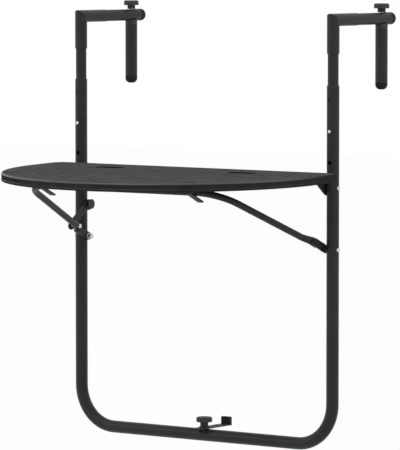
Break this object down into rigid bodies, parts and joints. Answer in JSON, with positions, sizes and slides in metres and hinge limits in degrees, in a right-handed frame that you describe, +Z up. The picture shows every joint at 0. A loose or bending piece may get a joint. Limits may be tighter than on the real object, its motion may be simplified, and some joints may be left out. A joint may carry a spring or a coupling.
{
  "type": "balcony railing bar table",
  "caption": "Hanging balcony bar table: bent tube frame with hooks over the railing, half round folding top, swing brace and a spacer that rests on the balusters.",
  "frame": {"origin": "midway between the posts, in the plane of their rail side, at the height of the hooks' undersides, where the top rail sits", "axes": "+Z up, +Y towards the railing, -Y towards the user, +X to the right in the picture"},
  "size_m": [0.656, 0.5858, 0.821],
  "materials": {
    "tube_paint": "satin powder coat",
    "moulded_top": "fine woven texture",
    "black_plastic": "moulded",
    "zinc": "zinc plated",
    "spring_steel": "bright",
    "nylon": "moulded",
    "rubber": "matt"
  },
  "bodies": {
    "frame": {"u_frame": "tube_paint", "post_bush_left": "black_plastic", "post_bush_right": "black_plastic", "hinge_bolts": "zinc", "hinge_nuts": "zinc", "brace_bolts": "zinc", "brace_nuts": "zinc", "brace_spacer_rings": "nylon", "brace_washers": "zinc", "lock_insert": "zinc", "bottom_insert": "zinc"},
    "table": {"tabletop": "moulded_top", "hinge_bracket_left": "tube_paint", "hinge_bracket_right": "tube_paint", "bracket_screws": "zinc", "brace_clip_left": "black_plastic", "brace_clip_right": "black_plastic", "clip_screws": "zinc"},
    "brace": {"brace_tube": "tube_paint", "brace_tab_left": "zinc", "brace_tab_right": "zinc", "brace_rivets": "zinc", "lock_rivet": "zinc"},
    "link": {"lock_link": "tube_paint"},
    "lock": {"lock_knob": "black_plastic", "lock_screw": "zinc"},
    "spacer": {"spacer_bar": "tube_paint", "spacer_pad": "rubber"},
    "base_knob": {"spacer_knob": "black_plastic", "spacer_screw": "zinc"},
    "hook_left": {"hook_tube_left": "tube_paint", "inner_tube_left": "tube_paint", "arm_cap_left": "black_plastic", "hook_rivet_left": "zinc", "snap_spring_left": "spring_steel"},
    "button_left": {"snap_button_left": "zinc"},
    "peg_left": {"peg_tube_left": "tube_paint", "peg_saddle_left": "black_plastic", "peg_insert_left": "zinc", "peg_cap_left": "black_plastic"},
    "clamp_left": {"clamp_knob_left": "black_plastic", "clamp_stud_left": "zinc"},
    "hook_right": {"hook_tube_right": "tube_paint", "inner_tube_right": "tube_paint", "arm_cap_right": "black_plastic", "hook_rivet_right": "zinc", "snap_spring_right": "spring_steel"},
    "button_right": {"snap_button_right": "zinc"},
    "peg_right": {"peg_tube_right": "tube_paint", "peg_saddle_right": "black_plastic", "peg_insert_right": "zinc", "peg_cap_right": "black_plastic"},
    "clamp_right": {"clamp_knob_right": "black_plastic", "clamp_stud_right": "zinc"}
  },
  "joints": [
    {"name": "table_fold", "type": "hinge", "parent": "frame", "child": "table", "pos_m": [0, -0.0115, -0.2955], "axis": [1, 0, 0], "range_deg": [0, 88.5], "deforming": ["brace_clip_left", "brace_clip_right"]},
    {"name": "brace_fold", "type": "hinge", "parent": "frame", "child": "brace", "pos_m": [0, -0.0115, -0.408], "axis": [1, 0, 0], "range_deg": [0, 113.85]},
    {"name": "link_fold", "type": "hinge", "parent": "brace", "child": "link", "pos_m": [-0.2765, -0.06363, -0.38495], "axis": [1, 0, 0], "range_deg": [0, 119.74]},
    {"name": "lock_turn", "type": "hinge", "parent": "frame", "child": "lock", "pos_m": [-0.27, -0.0115, -0.3465], "axis": [1, 0, 0], "continuous": true},
    {"name": "spacer_slide", "type": "slide", "parent": "frame", "child": "spacer", "axis": [0, 1, 0], "range_m": [-0.043, 0.013]},
    {"name": "base_turn", "type": "hinge", "parent": "frame", "child": "base_knob", "pos_m": [0, -0.0115, -0.745], "axis": [0, 0, 1], "continuous": true},
    {"name": "height_left", "type": "slide", "parent": "frame", "child": "hook_left", "axis": [0, 0, 1], "range_m": [-0.057, 0.057], "deforming": ["snap_button_left", "snap_spring_left"]},
    {"name": "button_press_left", "type": "slide", "parent": "hook_left", "child": "button_left", "axis": [0, 1, 0], "range_m": [0, 0.0035], "stiffness_N_per_m": 1500, "springref_m": -0.002, "deforming": ["snap_spring_left"]},
    {"name": "peg_slide_left", "type": "slide", "parent": "hook_left", "child": "peg_left", "axis": [0, 1, 0], "range_m": [-0.08, 0.01]},
    {"name": "clamp_turn_left", "type": "hinge", "parent": "peg_left", "child": "clamp_left", "pos_m": [-0.292, 0.1458, 0.03], "axis": [0, 0, 1], "continuous": true},
    {"name": "height_right", "type": "slide", "parent": "frame", "child": "hook_right", "axis": [0, 0, 1], "range_m": [-0.057, 0.057], "deforming": ["snap_button_right", "snap_spring_right"]},
    {"name": "button_press_right", "type": "slide", "parent": "hook_right", "child": "button_right", "axis": [0, 1, 0], "range_m": [0, 0.0035], "stiffness_N_per_m": 1500, "springref_m": -0.002, "deforming": ["snap_spring_right"]},
    {"name": "peg_slide_right", "type": "slide", "parent": "hook_right", "child": "peg_right", "axis": [0, 1, 0], "range_m": [-0.08, 0.01]},
    {"name": "clamp_turn_right", "type": "hinge", "parent": "peg_right", "child": "clamp_right", "pos_m": [0.292, 0.1458, 0.03], "axis": [0, 0, 1], "continuous": true}
  ],
  "couplings": [
    {"joint": "brace_fold", "follows": "table_fold", "ratio": 1.2865},
    {"joint": "link_fold", "follows": "table_fold", "ratio": 1.353}
  ]
}
